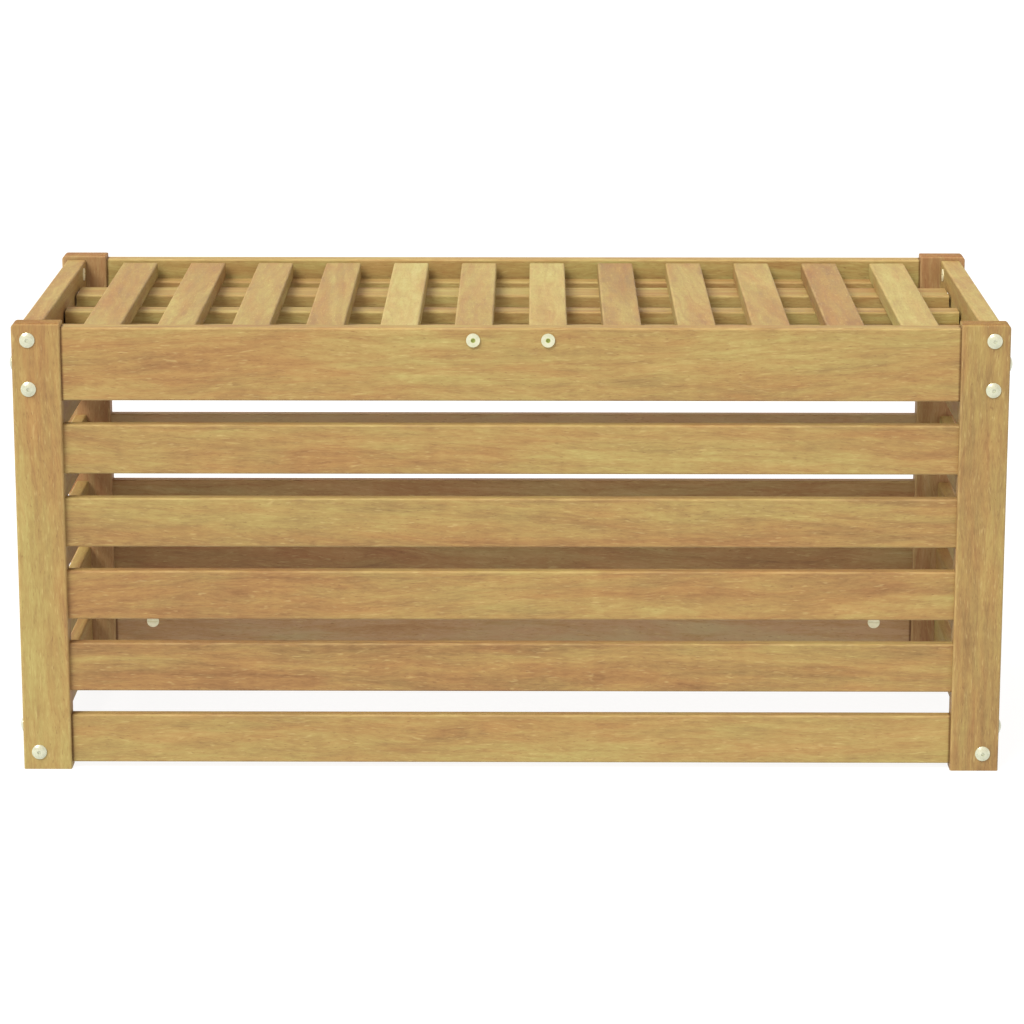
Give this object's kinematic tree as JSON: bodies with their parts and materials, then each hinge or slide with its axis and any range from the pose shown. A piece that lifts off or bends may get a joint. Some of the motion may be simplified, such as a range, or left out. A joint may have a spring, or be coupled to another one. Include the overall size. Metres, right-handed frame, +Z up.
{
  "type": "deck storage box",
  "caption": "Slatted wooden garden storage box with open bottom and a slatted lid that tips back on hidden pivot bolts.",
  "frame": {"origin": "on the ground, below the middle of the box", "axes": "+X along the box to its right side, +Y to its back, +Z up"},
  "size_m": [1.1478, 0.5078, 0.53],
  "materials": {
    "post_wood": "oiled acacia, satin",
    "rail_wood": "oiled acacia, satin",
    "slat_wood": "oiled acacia, satin",
    "lid_wood": "oiled acacia, satin",
    "batten_wood": "oiled acacia, satin",
    "dowel_wood": "plain beech",
    "pale_zinc": "pale zinc, satin",
    "steel": "zinc-plated steel",
    "nylon": "white nylon"
  },
  "bodies": {
    "box": {"front_left_post": "post_wood", "front_right_post": "post_wood", "rear_left_post": "post_wood", "rear_right_post": "post_wood", "front_top_rail": "rail_wood", "rear_top_rail": "rail_wood", "left_top_rail": "rail_wood", "right_top_rail": "rail_wood", "front_bottom_rail": "rail_wood", "rear_bottom_rail": "rail_wood", "left_bottom_rail": "rail_wood", "right_bottom_rail": "rail_wood", "front_slat_1": "slat_wood", "front_slat_2": "slat_wood", "front_slat_3": "slat_wood", "front_slat_4": "slat_wood", "rear_slat_1": "slat_wood", "rear_slat_2": "slat_wood", "rear_slat_3": "slat_wood", "rear_slat_4": "slat_wood", "left_slat_1": "slat_wood", "left_slat_2": "slat_wood", "left_slat_3": "slat_wood", "left_slat_4": "slat_wood", "right_slat_1": "slat_wood", "right_slat_2": "slat_wood", "right_slat_3": "slat_wood", "right_slat_4": "slat_wood", "left_lid_cleat": "slat_wood", "right_lid_cleat": "slat_wood", "dowels": "dowel_wood", "corner_bolts": "pale_zinc", "side_bolts": "pale_zinc", "barrel_nuts": "pale_zinc", "cleat_screws": "steel", "lid_rest_brackets": "steel", "lid_rest_bolts": "pale_zinc", "pivot_inserts": "steel", "pivot_bolts": "pale_zinc"},
    "lid": {"lid_slat_1": "lid_wood", "lid_slat_2": "lid_wood", "lid_slat_3": "lid_wood", "lid_slat_4": "lid_wood", "lid_slat_5": "lid_wood", "lid_slat_6": "lid_wood", "lid_slat_7": "lid_wood", "lid_slat_8": "lid_wood", "lid_slat_9": "lid_wood", "lid_slat_10": "lid_wood", "lid_slat_11": "lid_wood", "lid_slat_12": "lid_wood", "lid_front_batten": "batten_wood", "lid_second_batten": "batten_wood", "lid_middle_batten": "batten_wood", "lid_pivot_batten": "batten_wood", "lid_rear_batten": "batten_wood", "lid_screws": "steel", "pivot_bushings": "nylon"}
  },
  "joints": [
    {"name": "lid_hinge", "type": "hinge", "parent": "box", "child": "lid", "pos_m": [0, 0.125, 0.494], "axis": [-1, 0, 0], "range_deg": [0, 145]}
  ]
}
